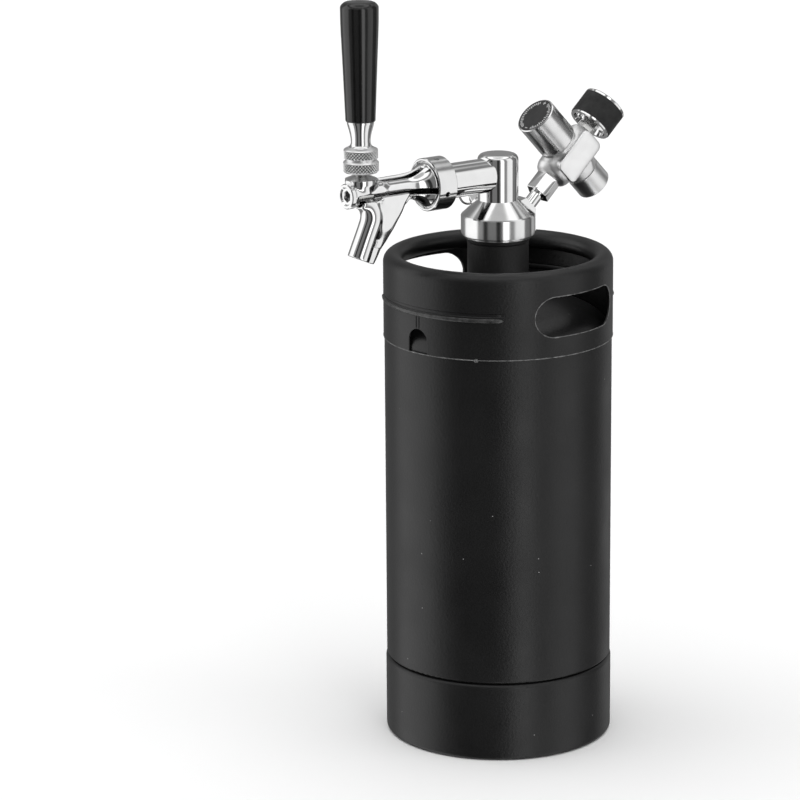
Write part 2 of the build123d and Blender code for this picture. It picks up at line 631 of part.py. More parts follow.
# Needle: small hub with a pointer lying across the dial.
with BuildPart() as gauge_needle:
    rod(1.5, 42.2, 43.4, GAS)
    with BuildSketch(cross_plane(GAS, 42.6)):
        with BuildLine():
            Polyline((-0.9, -3.5), (0.9, -3.5), (0.4, 10.5), (-0.4, 10.5), close=True)
        make_face()
    extrude(amount=0.5)
save(gauge_needle, "gauge_needle")
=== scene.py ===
import math
import random

import bmesh
import bpy
from mathutils import Matrix, Vector


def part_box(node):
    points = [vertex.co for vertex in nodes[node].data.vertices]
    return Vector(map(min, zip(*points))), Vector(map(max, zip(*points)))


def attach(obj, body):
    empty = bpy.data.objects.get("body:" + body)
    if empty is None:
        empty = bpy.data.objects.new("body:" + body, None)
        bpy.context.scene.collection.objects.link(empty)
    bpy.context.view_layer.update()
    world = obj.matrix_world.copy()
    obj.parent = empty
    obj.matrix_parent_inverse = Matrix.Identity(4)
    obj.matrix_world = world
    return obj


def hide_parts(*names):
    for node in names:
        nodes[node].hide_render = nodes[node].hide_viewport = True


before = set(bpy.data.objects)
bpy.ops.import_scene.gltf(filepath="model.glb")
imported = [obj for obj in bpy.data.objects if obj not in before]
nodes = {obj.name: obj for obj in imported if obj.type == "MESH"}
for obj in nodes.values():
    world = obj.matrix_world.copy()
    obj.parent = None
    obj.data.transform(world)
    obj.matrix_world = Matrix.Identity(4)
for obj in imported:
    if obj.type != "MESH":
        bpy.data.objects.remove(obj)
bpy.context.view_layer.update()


# ------------------------------------------------------------------ tank and its black coat
# The tank is deep-drawn stainless sheet, welded into one vessel and powder coated black.
# The coat is dull, with a fine orange peel, faint rub marks and a few specks of dust.

def new_material(name):
    """An empty material with its shader and output joined."""
    material = bpy.data.materials.new(name)
    material.use_nodes = True
    tree = material.node_tree
    tree.nodes.clear()
    out = tree.nodes.new("ShaderNodeOutputMaterial")
    shader = tree.nodes.new("ShaderNodeBsdfPrincipled")
    tree.links.new(shader.outputs["BSDF"], out.inputs["Surface"])
    return material, tree, shader


def grain(tree, scale, detail=3.0, stretch=(1, 1, 1)):
    """Noise in the object's own metres, stretched along its axes."""
    place = tree.nodes.new("ShaderNodeTexCoord")
    mapping = tree.nodes.new("ShaderNodeMapping")
    mapping.inputs["Scale"].default_value = stretch
    tree.links.new(place.outputs["Object"], mapping.inputs["Vector"])
    noise = tree.nodes.new("ShaderNodeTexNoise")
    noise.inputs["Scale"].default_value = scale
    noise.inputs["Detail"].default_value = detail
    tree.links.new(mapping.outputs["Vector"], noise.inputs["Vector"])
    return noise.outputs["Fac"]


# Noise seldom leaves this range, so this much of it is spread over the range wanted.
NOISE_LOW, NOISE_HIGH = 0.3, 0.7


def spread(tree, source, low, high):
    """Maps a texture's value onto a range of values."""
    step = tree.nodes.new("ShaderNodeMapRange")
    step.inputs["From Min"].default_value = NOISE_LOW
    step.inputs["From Max"].default_value = NOISE_HIGH
    step.inputs["To Min"].default_value = low
    step.inputs["To Max"].default_value = high
    tree.links.new(source, step.inputs["Value"])
    return step.outputs["Result"]


def blend_colours(tree, source, first, second):
    """One colour where the texture is dark and another where it is light."""
    mix = tree.nodes.new("ShaderNodeMix")
    mix.data_type = "RGBA"
    mix.inputs["A"].default_value = (*first, 1)
    mix.inputs["B"].default_value = (*second, 1)
    tree.links.new(source, mix.inputs["Factor"])
    return mix.outputs["Result"]


def relief(tree, shader, source, depth, strength=1.0):
    """Raises the surface by the texture, to a real depth in metres."""
    bump = tree.nodes.new("ShaderNodeBump")
    bump.inputs["Strength"].default_value = strength
    bump.inputs["Distance"].default_value = depth
    tree.links.new(source, bump.inputs["Height"])
    tree.links.new(bump.outputs["Normal"], shader.inputs["Normal"])


def grey(level):
    return (level, level, level)


def noisy_finish(name, tone, gloss, bumps=None, settings=None):
    """A finish whose colour, roughness and relief follow noise of a stated scale and detail.

    The tone is (scale, detail, dark, light) and the gloss (scale, detail, least, most
    roughness); the bumps are (scale, detail, depth in metres, strength, stretch)."""
    material, tree, shader = new_material(name)
    for setting, value in (settings or {}).items():
        shader.inputs[setting].default_value = value
    scale, detail, dark, light = tone
    shade = blend_colours(tree, spread(tree, grain(tree, scale, detail), 0, 1), dark, light)
    tree.links.new(shade, shader.inputs["Base Color"])
    scale, detail, least, most = gloss
    tree.links.new(spread(tree, grain(tree, scale, detail), least, most), shader.inputs["Roughness"])
    if bumps:
        scale, detail, depth, strength, stretch = bumps
        relief(tree, shader, grain(tree, scale, detail, stretch), depth, strength)
    return material


EVEN = (1, 1, 1)


def paint(finish, *pieces):
    """Puts one finish on each of the named CAD nodes."""
    for piece in pieces:
        mesh = nodes[piece].data
        mesh.materials.clear()
        mesh.materials.append(finish)


DUST_CELLS = 130  # cells to the metre, each of which may hold one speck
DUST_RARE = 0.88  # a cell holds a speck when its own draw is above this
DUST_REACH = 0.050  # how far a speck reaches, in cells


def powder_coat(name, dark, light, rough_low, rough_high):
    """The dull coat with its orange peel, its rub marks and its specks of dust."""
    material, tree, shader = new_material(name)
    shader.inputs["Specular IOR Level"].default_value = 0.42
    cloud = grain(tree, 14, 4.0)
    tone = blend_colours(tree, spread(tree, cloud, 0, 1), dark, light)
    place = tree.nodes.new("ShaderNodeTexCoord")
    dust = tree.nodes.new("ShaderNodeTexVoronoi")
    dust.inputs["Scale"].default_value = DUST_CELLS
    tree.links.new(place.outputs["Object"], dust.inputs["Vector"])
    keep = tree.nodes.new("ShaderNodeSeparateColor")
    tree.links.new(dust.outputs["Color"], keep.inputs["Color"])
    rare = tree.nodes.new("ShaderNodeMath")
    rare.operation = "GREATER_THAN"
    rare.inputs[1].default_value = DUST_RARE
    tree.links.new(keep.outputs["Red"], rare.inputs[0])
    near = tree.nodes.new("ShaderNodeMath")
    near.operation = "LESS_THAN"
    near.inputs[1].default_value = DUST_REACH
    tree.links.new(dust.outputs["Distance"], near.inputs[0])
    speck = tree.nodes.new("ShaderNodeMath")
    speck.operation = "MULTIPLY"
    tree.links.new(rare.outputs[0], speck.inputs[0])
    tree.links.new(near.outputs[0], speck.inputs[1])
    dusty = tree.nodes.new("ShaderNodeMix")
    dusty.data_type = "RGBA"
    dusty.inputs["B"].default_value = (*grey(0.30), 1)
    tree.links.new(speck.outputs[0], dusty.inputs["Factor"])
    tree.links.new(tone, dusty.inputs["A"])
    tree.links.new(dusty.outputs["Result"], shader.inputs["Base Color"])
    tree.links.new(spread(tree, grain(tree, 30, 5.0), rough_low, rough_high), shader.inputs["Roughness"])
    relief(tree, shader, grain(tree, 620, 3.0), 0.00016, 0.8)
    return material


coat = powder_coat("black_powder_coat", (0.0045, 0.0045, 0.0047), (0.0080, 0.0080, 0.0082),
                   0.33, 0.42)
paint(coat, "tank_shell", "top_chime", "foot_chime")
# The neck collar's coat is duller, and is painted lighter than the tank's to stand in for the light the
# neck catches under the bell.
neck_coat_painted_lighter = powder_coat("dull_powder_coat_painted_lighter", grey(0.012), grey(0.020), 0.50, 0.60)
paint(neck_coat_painted_lighter, "neck_collar")

# ------------------------------------------------------------------ seams of the chimes
# The skirt is welded round its lower edge and then coated, so a thin bead of weld stands proud there,
# with one drop of spatter, and its butt seam runs down to the notch. The bead and the drop are coloured
# lighter than the coat: a painted highlight along the seam.

SKIRT_R = 0.0806
SEAM_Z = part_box("top_chime")[0].z
NOTCH_TURN = math.radians(9.3)


def on_wall(radius, turn, height, way=1):
    """A point on the skirt and the way out of it; the turn is counted from -Y towards +X."""
    point = Vector((radius * math.sin(turn), -radius * math.cos(turn), height))
    return point, Vector((point.x, point.y, 0)).normalized() * way


def join_rings(first, second, around):
    """The faces between two rings of points, by the index of each ring's first point."""
    faces = []
    for k in range(around):
        n = (k + 1) % around
        faces.append((first + k, first + n, second + n, second + k))
    return faces


def finish_mesh(name, verts, faces, material, smooth=True):
    """A mesh object in the row frame with one finish."""
    mesh = bpy.data.meshes.new(name)
    mesh.from_pydata([tuple(v) for v in verts], [], faces)
    mesh.update()
    clean = bmesh.new()
    clean.from_mesh(mesh)
    bmesh.ops.recalc_face_normals(clean, faces=clean.faces)
    clean.to_mesh(mesh)
    clean.free()
    for face in mesh.polygons:
        face.use_smooth = smooth
    mesh.materials.append(material)
    piece = bpy.data.objects.new(name, mesh)
    bpy.context.scene.collection.objects.link(piece)
    return piece


def bead(name, points, half_width, proud, material, closed=False, wobble=0.0, seed=1):
    """A low rounded run of weld through the points, each given with its outward direction."""
    draw = random.Random(seed)
    verts, faces = [], []
    around = 8
    count = len(points)
    for i, (point, outward) in enumerate(points):
        ahead = points[(i + 1) % count][0] if closed or i < count - 1 else point
        behind = points[i - 1][0] if closed or i > 0 else point
        along = (ahead - behind).normalized()
        side = along.cross(outward).normalized()
        swell = 1 + wobble * draw.uniform(-1, 1)
        if not closed:
            from_end = min(1.0, min(i, count - 1 - i) / 3)
            swell *= max(0.1, math.sqrt(1 - (1 - from_end) ** 2))
        for k in range(around):
            angle = 2 * math.pi * k / around
            verts.append(point + side * half_width * swell * math.cos(angle)
                         + outward * proud * swell * math.sin(angle))
    for i in range(count if closed else count - 1):
        faces += join_rings(i * around, (i + 1) % count * around, around)
    if not closed:
        faces.append(tuple(range(around)))
        faces.append(tuple((count - 1) * around + k for k in range(around)))
    return finish_mesh(name, verts, faces, material)


def painted_highlight_coat(name, dark, light):
    """The coat made lighter and a little shinier: a painted highlight on welds and edges."""
    return noisy_finish(name, (260, 3.0, dark, light), (500, 3.0, 0.25, 0.42),
                        (900, 3.0, 0.0001, 0.6, EVEN))


# Lighter coats painted on as highlights: a bright one for the welds and hand-hole edges, a dimmer one for
# the groove lips.
highlight_line_coat = painted_highlight_coat("painted_highlight_coat", grey(0.03), grey(0.20))
lip_highlight_coat = painted_highlight_coat("lip_highlight_coat", grey(0.012), grey(0.055))
run = [on_wall(SKIRT_R - 0.0002, 2 * math.pi * i / 360, SEAM_Z - 0.0001) for i in range(360)]
chime_weld = bead("chime_weld", run, 0.00042, 0.00042, highlight_line_coat, closed=True, wobble=0.18, seed=4)
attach(chime_weld, "keg")

DROP_TURN = math.radians(42.0)
DROP_HALF = 0.0016
run = [on_wall(SKIRT_R, DROP_TURN + (-1 + i / 4) * DROP_HALF / SKIRT_R, SEAM_Z - 0.0004)
       for i in range(9)]
weld_drop = bead("weld_drop", run, 0.0014, 0.0012, highlight_line_coat, wobble=0.15, seed=9)
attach(weld_drop, "keg")

# The butt seam shows as two fine lines, this far to each side of it.
BUTT_HALF = 0.0013
BUTT_LOW, BUTT_HIGH = 0.3068, 0.3195
for side in (-1, 1):
    run = [on_wall(SKIRT_R + 0.0001, NOTCH_TURN + side * BUTT_HALF / SKIRT_R,
                   BUTT_LOW + (BUTT_HIGH - BUTT_LOW) * i / 12) for i in range(13)]
    butt = bead("butt_seam_" + ("left" if side < 0 else "right"), run, 0.0005, 0.0003, coat)
    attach(butt, "keg")

# The pressed grooves leave a soft lip standing under them outside, and a ridge inside. The outer lips are
# coloured lighter than the coat, a painted highlight under each groove.
GROOVE_HALF = 46  # degrees to each side of its middle
LIP_Z, RIDGE_Z = 0.3178, 0.3213
for name, start, height, radius, way, half, proud in (
        ("groove_lip_front", NOTCH_TURN, LIP_Z, SKIRT_R, 1, 0.0016, 0.0010),
        ("groove_lip_back", NOTCH_TURN + math.pi, LIP_Z, SKIRT_R, 1, 0.0016, 0.0010),
        ("groove_ridge_front", NOTCH_TURN, RIDGE_Z, SKIRT_R - 0.0015, -1, 0.0024, 0.0011),
        ("groove_ridge_back", NOTCH_TURN + math.pi, RIDGE_Z, SKIRT_R - 0.0015, -1, 0.0024, 0.0011)):
    run = [on_wall(radius, start + math.radians(turn), height, way)
           for turn in range(-GROOVE_HALF, GROOVE_HALF + 1)]
    # The outer lips take the lighter coat as a painted highlight; the inner ridges keep the plain coat.
    lip = bead(name, run, half, proud, lip_highlight_coat if way > 0 else coat)
    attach(lip, "keg")

# A thin pale line runs round the cut edge of each hand hole: a painted highlight on the edge.
HOLE_TURN = math.radians(99.3)
HOLE_Z = 0.318
HOLE_HALF = 0.0240
HOLE_END = 0.01425
outline = []
for way in (1, -1):
    for i in range(24):
        turn = math.pi * i / 23 - way * math.pi / 2
        outline.append((way * HOLE_HALF + HOLE_END * math.cos(turn), HOLE_END * math.sin(turn)))
    for i in range(1, 16):
        outline.append((way * (HOLE_HALF - 2 * HOLE_HALF * i / 16), way * HOLE_END))
for name, start in (("handhole_edge_right", HOLE_TURN), ("handhole_edge_left", HOLE_TURN + math.pi)):
    run = [on_wall(SKIRT_R - 0.0001, start + math.asin(across / SKIRT_R), HOLE_Z + up)
           for across, up in outline]
    edge = bead(name, run, 0.00035, 0.00030, highlight_line_coat, closed=True, wobble=0.2, seed=11)
    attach(edge, "keg")

# ------------------------------------------------------------------ neck gasket
# A flat ring of black rubber squeezed between the neck's shoulder and the bell.


black_rubber = noisy_finish("black_rubber", (180, 4.0, grey(0.008), grey(0.018)),
                            (420, 3.0, 0.49, 0.63), (2600, 2.0, 0.00005, 0.5, EVEN),
                            {"Specular IOR Level": 0.35})
paint(black_rubber, "neck_gasket", "dip_tube_seal", "coupling_gasket", "seat_washer", "piston_seal",
      "cartridge_seal")

# ------------------------------------------------------------------ bell, column and arm
# Turned from stainless bar and polished: the bell screws over the neck, the column stands
# on it, and the arm is welded into the column's side.


def polished_steel(name, tint, rough_low, rough_high, lines=EVEN, depth=0.000004, scale=900):
    """Bright metal with the faint lines its polishing leaves and soft smears in the gloss."""
    dark = tuple(c * 0.93 for c in tint)
    return noisy_finish(name, (55, 4.0, dark, tint), (90, 5.0, rough_low, rough_high),
                        (scale, 2.0, depth, 0.4, lines), {"Metallic": 1.0})


chrome = polished_steel("polished_chrome", grey(0.80), 0.045, 0.10)
turned_chrome = polished_steel("turned_chrome", grey(0.78), 0.10, 0.17, (1, 1, 9), 0.000006, 600)
paint(chrome, "column", "arm", "gas_tube", "tap_bonnet", "front_plug", "relief_body", "relief_cap",
      "swivel_nut")
paint(turned_chrome, "bell", "coupling_nut")
for name in ("swivel_nut", "gauge_stem", "relief_body", "relief_cap"):
    nodes[name].modifiers.new("joined corners", "WELD").merge_threshold = 0.000002
    eased = nodes[name].modifiers.new("eased edges", "BEVEL")
    eased.width = 0.0005
    eased.segments = 3
    eased.limit_method = "ANGLE"
    eased.angle_limit = math.radians(35)
    eased.harden_normals = True

# ------------------------------------------------------------------ dip tube and small steel
# Plain drawn stainless: the tube in the tank, its gland nut, pins and stems.

drawn_steel = polished_steel("drawn_steel", (0.62, 0.62, 0.61), 0.20, 0.32, (6, 6, 1), 0.000008, 500)
paint(drawn_steel, "dip_tube", "dip_tube_nut", "relief_stem", "relief_ring", "lever_pin", "plunger",
      "plunger_nut", "spring_sleeve", "piercing_pin", "gauge_stem", "adjust_screw", "check_spring",
      "relief_spring", "range_spring")

# ------------------------------------------------------------------ tap casting
# The tap's body is one brass casting, plated and buffed until every corner has softened.
# It is remade here from the CAD solid with its joins blended as buffing leaves them.


def softened_copy(node, name, cell, finish, softness, webs):
    """A copy of a CAD node rebuilt in small cells, its joins rounded by each (passes, where).

    Each web is a list of corners whose hull is joined on first, as the casting's fill."""
    mesh = nodes[node].data.copy()
    mesh.name = name
    joined = bmesh.new()
    joined.from_mesh(mesh)
    for web in webs:
        corners = [joined.verts.new(corner) for corner in web]
        hull = bmesh.ops.convex_hull(joined, input=corners)
        loose = [item for item in hull["geom_interior"] if isinstance(item, bmesh.types.BMVert)]
        bmesh.ops.delete(joined, geom=loose, context="VERTS")
    joined.to_mesh(mesh)
    joined.free()
    piece = bpy.data.objects.new(name, mesh)
    bpy.context.scene.collection.objects.link(piece)
    remesh = piece.modifiers.new("cells", "REMESH")
    remesh.mode = "VOXEL"
    remesh.voxel_size = cell
    for passes, where in softness:
        bpy.context.view_layer.update()
        piece.data = bpy.data.meshes.new_from_object(
            piece.evaluated_get(bpy.context.evaluated_depsgraph_get()))
        piece.modifiers.clear()
        levels = {}  # points that are rounded over alike, in tenths of the full amount
        for v in piece.data.vertices:
            levels.setdefault(round(where(v.co) * 10), []).append(v.index)
        group = piece.vertex_groups.new(name="buffed_" + str(passes))
        for level, members in levels.items():
            if level > 0:
                group.add(members, level / 10, "REPLACE")
        soften = piece.modifiers.new("buffing", "SMOOTH")
        soften.iterations = passes
        soften.factor = 0.5
        soften.vertex_group = group.name
    bpy.context.view_layer.update()
    piece.data = bpy.data.meshes.new_from_object(
        piece.evaluated_get(bpy.context.evaluated_depsgraph_get()))
    piece.modifiers.clear()
    piece.vertex_groups.clear()
    piece.data.name = name
    for face in piece.data.polygons:
        face.use_smooth = True
    piece.data.materials.clear()
    piece.data.materials.append(finish)
    return piece


def ramp_up(value, start, end):
    """Rises from 0 at start to 1 at end."""
    return max(0.0, min(1.0, (value - start) / (end - start)))


TAP_Y = -0.1164
ARM_Z = 0.404
BALL_AT = Vector((0, TAP_Y, 0.4125))
MOUTH_AT = Vector((0, -0.1193, 0.3593))


def tap_webs(at):
    """Where the casting's webs are buffed broad, which spares everything that fits or screws on."""
    return min(ramp_up((MOUTH_AT - at).length, 0.009, 0.018),  # the spout's mouth
               ramp_up(-at.y, 0.079, 0.086),  # the flare at the rear
               ramp_up(0.4105 - at.z, 0.0, 0.004),  # the cup under the lever
               ramp_up(0.1250 + at.y, 0.0, 0.003),  # the plug's seat at the front
               ramp_up((BALL_AT - at).length, 0.0078, 0.0090),  # the lever's ball
               ramp_up(math.hypot(at.x, at.z - ARM_Z), 0.0058, 0.0068))  # the barrel's bore


# Corners of the web under the valve barrel, as (distance forward, height, half thickness).
WEB = [(0.0800, 0.4018, 0.0074), (0.1035, 0.4018, 0.0074),
       (0.0860, 0.3890, 0.0069), (0.1010, 0.3890, 0.0069),
       (0.0932, 0.3785, 0.0065), (0.1055, 0.3785, 0.0065),
       (0.1020, 0.3640, 0.0036), (0.1090, 0.3660, 0.0036)]
CLEAR_OF_BORE = 0.0047
webs = [[Vector((side * thick, -forward, height)) for forward, height, half in WEB
         for thick in (half, min(CLEAR_OF_BORE, half - 0.0005))] for side in (-1, 1)]
tap_casting = softened_copy("tap_body", "tap_casting", 0.00045, chrome,
                            [(110, tap_webs), (8, lambda at: 1.0)], webs)
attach(tap_casting, "head")
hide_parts("tap_body")

# ------------------------------------------------------------------ knurled rings
# Two brass rings on the lever, plated and cut with a diamond knurl so fingers can grip
# them: the wider lever ring below and the lock ring above it.

KNURL_PITCH = 0.00235
KNURL_DEPTH = 0.00065
KNURL_RUNOUT = 0.0003
STEPS_TO_TOOTH = 8
RING_BORE = 0.00476
# Dark grey metal for the deepest faces of the knurl's valleys: painted shade in the grooves.
groove_painted_shade = polished_steel("knurl_groove_painted_shade", grey(0.09), 0.40, 0.55, EVEN, 0.00001, 900)
knurl_metal = polished_steel("knurl_metal", grey(0.92), 0.30, 0.42, EVEN, 0.00001, 900)


def on_ring(radius, turn, height):
    """A point round the upright line through the tap's lever."""
    return radius * math.cos(turn), TAP_Y + radius * math.sin(turn), height


def knurled_ring(name, profile, band):
    """A turned ring whose plain band carries crossed grooves, their deepest faces painted dark as shade;
    profile is (radius, height).
    """
    low, high = band
    radius = max(r for r, z in profile)
    teeth = round(2 * math.pi * radius / KNURL_PITCH)
    around = teeth * STEPS_TO_TOOTH
    rows = []
    for (r0, z0), (r1, z1) in zip(profile, profile[1:]):
        in_band = abs(r0 - radius) < 1e-7 and abs(r1 - radius) < 1e-7
        steps = max(2, round((z1 - z0) / (KNURL_PITCH / STEPS_TO_TOOTH))) if in_band else 2
        for i in range(steps):
            t = i / steps
            rows.append((r0 + (r1 - r0) * t, z0 + (z1 - z0) * t, in_band))
    rows.append((*profile[-1], False))
    verts, faces = [], []
    for r, z, in_band in rows:
        fade = 0.0
        if in_band:
            fade = max(0.0, min(1.0, (z - low) / KNURL_RUNOUT, (high - z) / KNURL_RUNOUT))
        for k in range(around):
            turn = 2 * math.pi * k / around
            across = turn * teeth / (2 * math.pi)
            climb = z / KNURL_PITCH
            first = abs(2 * ((across + climb) % 1) - 1)
            second = abs(2 * ((across - climb) % 1) - 1)
            from_groove = min(first, second)
            share = 1 - from_groove * 1.4 if from_groove < 0.7 else 0.02
            verts.append(on_ring(r - KNURL_DEPTH * fade * share, turn, z))
    last = (len(rows) - 1) * around
    for start in range(0, last, around):
        faces += join_rings(start, start + around, around)
    base = len(verts)
    for z in (profile[-1][1], profile[0][1]):
        for k in range(around):
            verts.append(on_ring(RING_BORE, 2 * math.pi * k / around, z))
    for start, end in ((last, base), (base, base + around), (base + around, 0)):
        faces += join_rings(start, end, around)
    ring = finish_mesh(name, verts, faces, knurl_metal, smooth=False)
    ring.data.materials.append(groove_painted_shade)
    # Faces deep in the valleys take the dark metal, as painted shade.
    for face in ring.data.polygons:
        corners = [ring.data.vertices[v].co for v in face.vertices]
        inward = [radius - math.hypot(at.x, at.y - TAP_Y) for at in corners]
        in_band = all(low < at.z < high for at in corners)
        deep = sum(inward) / len(inward) > KNURL_DEPTH * 0.62
        if in_band and deep and max(inward) < KNURL_DEPTH * 1.5:
            face.material_index = 1
    return ring


ring_low = knurled_ring("knurled_lever_ring",
                        [(0.0110, 0.4194), (0.0116, 0.4199), (0.01225, 0.4206), (0.01225, 0.4264),
                         (0.0104, 0.4282)], (0.4206, 0.4264))
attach(ring_low, "tap_lever")
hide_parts("lever_ring")
ring_high = knurled_ring("knurled_lock_ring",
                         [(0.0104, 0.4282), (0.01175, 0.4294), (0.01175, 0.4349), (0.0112, 0.4356),
                          (0.0084, 0.4370)], (0.4294, 0.4349))
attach(ring_high, "tap_lever")
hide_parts("lock_ring")

# ------------------------------------------------------------------ ferrule and handle
# The handle is moulded in gloss black on a brass insert, with a plated ferrule below it.

paint(chrome, "ferrule")
gloss_plastic = noisy_finish("gloss_black_plastic", (40, 4.0, grey(0.004), grey(0.008)),
                             (120, 5.0, 0.10, 0.18), (700, 2.0, 0.000004, 0.4, EVEN),
                             {"Coat Weight": 0.1, "Coat Roughness": 0.04})
paint(gloss_plastic, "handle")
brass = polished_steel("turned_brass", (0.66, 0.48, 0.20), 0.22, 0.34, (6, 6, 1), 0.000008, 500)
paint(brass, "handle_insert", "piston", "spring_nut", "gas_filter", "gauge_works")

# ------------------------------------------------------------------ check valve and seals
# White nylon parts inside the gas inlet.

nylon = noisy_finish("white_nylon", (90, 4.0, (0.62, 0.61, 0.57), (0.72, 0.71, 0.68)),
                     (200, 4.0, 0.35, 0.5), (1200, 2.0, 0.00002, 0.4, EVEN))
paint(nylon, "check_poppet", "swivel_washer")

# ------------------------------------------------------------------ regulator casting
# The regulator's body is a zinc die casting, blasted and plated dull silver, with a plain
# bright shield set on one side.


def cast_metal(name, level, low, high, depth, scale=1400):
    return noisy_finish(name, (70, 5.0, grey(level * 0.94), grey(level)), (150, 5.0, low, high),
                        (scale, 3.0, depth, 0.5, EVEN), {"Metallic": 1.0})


blasted = cast_metal("blasted_silver", 0.86, 0.36, 0.46, 0.00004)
# The regulator's middle, and the ways its gas line and its knob run from there.
TILT = math.radians(43.5)
REG_AT = Vector((0, 0.0616, 0.411))
GAS_DIR = Vector((0, math.cos(TILT), math.sin(TILT)))
KNOB_DIR = Vector((0, -math.sin(TILT), math.cos(TILT)))
# The plate and the pad cast under it, as half lengths and the radius of their corners.
SHIELD_LONG, SHIELD_WIDE, SHIELD_ROUND = 0.0178, 0.0100, 0.0046
CORNER_POINTS = 9
SHIELD_AROUND = 4 * CORNER_POINTS
PAD_FACE = 0.0124


def regulator_skin(at):
    """Everywhere on the casting but the seats of its knob, socket, nut and plate."""
    along = (at.y - REG_AT.y) * KNOB_DIR.y + (at.z - REG_AT.z) * KNOB_DIR.z
    return min(ramp_up(0.0120 - along, 0.0, 0.002), ramp_up(along + 0.0180, 0.0, 0.002),
               ramp_up(PAD_FACE - at.x, 0.0, 0.001))


def shield_outline(inset, across):
    """Points round the plate at one distance from the middle of the casting."""
    long, wide, round_off = SHIELD_LONG - inset, SHIELD_WIDE - inset, SHIELD_ROUND - inset
    points = []
    for corner in range(4):
        mid_long = (long - round_off) * (1 if corner in (0, 3) else -1)
        mid_wide = (wide - round_off) * (1 if corner < 2 else -1)
        for i in range(CORNER_POINTS):
            turn = math.pi / 2 * (corner + i / (CORNER_POINTS - 1))
            flat = (GAS_DIR * (mid_long + round_off * math.cos(turn))
                    + KNOB_DIR * (mid_wide + round_off * math.sin(turn)))
            points.append(REG_AT + flat + Vector((across, 0, 0)))
    return points


pad_corners = shield_outline(0.0008, 0.0) + shield_outline(0.0006, PAD_FACE)
regulator_casting = softened_copy("regulator_body", "regulator_casting", 0.0005, blasted,
                                  [(60, regulator_skin), (6, lambda at: 1.0)], [pad_corners])
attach(regulator_casting, "regulator")
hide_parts("regulator_body")
bright_shield = cast_metal("bright_shield", 0.97, 0.32, 0.40, 0.00001, 2200)
# The plate's side and its low crown, as (inset from the edge, distance from the middle).
SHIELD_EDGE = [(0.0002, 0.0122), (0.0, PAD_FACE), (0.0, 0.0139), (0.0001, 0.0142),
               (0.0004, 0.0145), (0.0007, 0.0146), (0.0024, 0.0148), (0.0040, 0.0149)]
verts = [point for inset, across in SHIELD_EDGE for point in shield_outline(inset, across)]
faces = []
top_start = (len(SHIELD_EDGE) - 1) * SHIELD_AROUND
for start in range(0, top_start, SHIELD_AROUND):
    faces += join_rings(start, start + SHIELD_AROUND, SHIELD_AROUND)
faces.append(tuple(range(SHIELD_AROUND)))
faces.append(tuple(range(top_start, top_start + SHIELD_AROUND)))
shield = finish_mesh("blank_shield", verts, faces, bright_shield)
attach(shield, "regulator")
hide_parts("shield_plate")

# ------------------------------------------------------------------ knob, socket and gauge shell
# Turned aluminium, brushed along its length and plated: the adjusting knob, the cartridge
# socket and the gauge's case and bezel.

brushed_turned = polished_steel("brushed_turned", grey(0.78), 0.16, 0.27, EVEN, 0.00001, 1400)
satin_turned = polished_steel("satin_turned", grey(0.84), 0.27, 0.36, EVEN, 0.00001, 1400)
paint(brushed_turned, "knob_shell")
paint(satin_turned, "cartridge_socket")
paint(chrome, "gauge_case", "gauge_bezel")
paint(black_rubber, "gauge_boot")
moulded_black = noisy_finish("moulded_black", (90, 4.0, grey(0.010), grey(0.022)),
                             (250, 4.0, 0.38, 0.5), (2400, 2.0, 0.00002, 0.5, EVEN))
paint(moulded_black, "knob_disc")


def raised_block(verts, faces, at, along, side, up, half_long, half_wide, tall):
    """Adds one small raised mark, narrower at its top."""
    base = len(verts)
    for level, shrink in ((0.0, 1.0), (tall, 0.8)):
        for a, b in ((-1, -1), (1, -1), (1, 1), (-1, 1)):
            verts.append(at + along * a * half_long * shrink + side * b * half_wide * shrink + up * level)
    faces.append((base + 4, base + 5, base + 6, base + 7))
    faces.append((base + 3, base + 2, base + 1, base))
    for k in range(4):
        n = (k + 1) % 4
        faces.append((base + k, base + n, base + 4 + n, base + 4 + k))


# The knob's face carries a ring of plain ticks with a plus and a minus sign, in worn white
# print. Both it and the gauge's dial lie at the same distance from the regulator's middle.
FACE_OUT = 0.04178
TICKS_OUT = 0.0126  # to the outer end of the ticks, from the middle of the face
TICK_COUNT = 48
SIGN_GAP = 0.36  # radians left free of ticks, to each side of a sign
SIDE_DIR = Vector((1, 0, 0))
FACE_AT = REG_AT + KNOB_DIR * FACE_OUT
worn_print = noisy_finish("white_print", (900, 3.0, grey(0.62 * 0.75), grey(0.62)),
                          (700, 3.0, 0.35, 0.5), (2400, 2.0, 0.00001, 0.4, EVEN))
verts, faces = [], []
for i in range(TICK_COUNT):
    turn = 2 * math.pi * i / TICK_COUNT
    if min(abs(turn - 0.5 * math.pi), abs(turn - 1.5 * math.pi)) < SIGN_GAP:
        continue
    outward = SIDE_DIR * math.cos(turn) + GAS_DIR * math.sin(turn)
    round_way = GAS_DIR * math.cos(turn) - SIDE_DIR * math.sin(turn)
    half = 0.0014 if i % 4 == 0 else 0.0010
    raised_block(verts, faces, FACE_AT + outward * (TICKS_OUT - half), outward, round_way,
                 KNOB_DIR, half, 0.00034, 0.00012)
for way in (1, -1):
    sign_at = FACE_AT + GAS_DIR * 0.0112 * way
    raised_block(verts, faces, sign_at, SIDE_DIR, GAS_DIR, KNOB_DIR, 0.0013, 0.00032, 0.00012)
    if way > 0:
        raised_block(verts, faces, sign_at, GAS_DIR, SIDE_DIR, KNOB_DIR, 0.0013, 0.00032, 0.00014)
knob_marks = finish_mesh("knob_marks", verts, faces, worn_print, smooth=False)
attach(knob_marks, "knob")

# ------------------------------------------------------------------ gauge dial, needle and lens
# A white enamelled dial with printed marks under a clear plastic lens.


def enamel(name, dark, light, rough):
    return noisy_finish(name, (120, 4.0, dark, light), (300, 4.0, rough - 0.05, rough + 0.08),
                        (1800, 2.0, 0.00001, 0.4, EVEN))


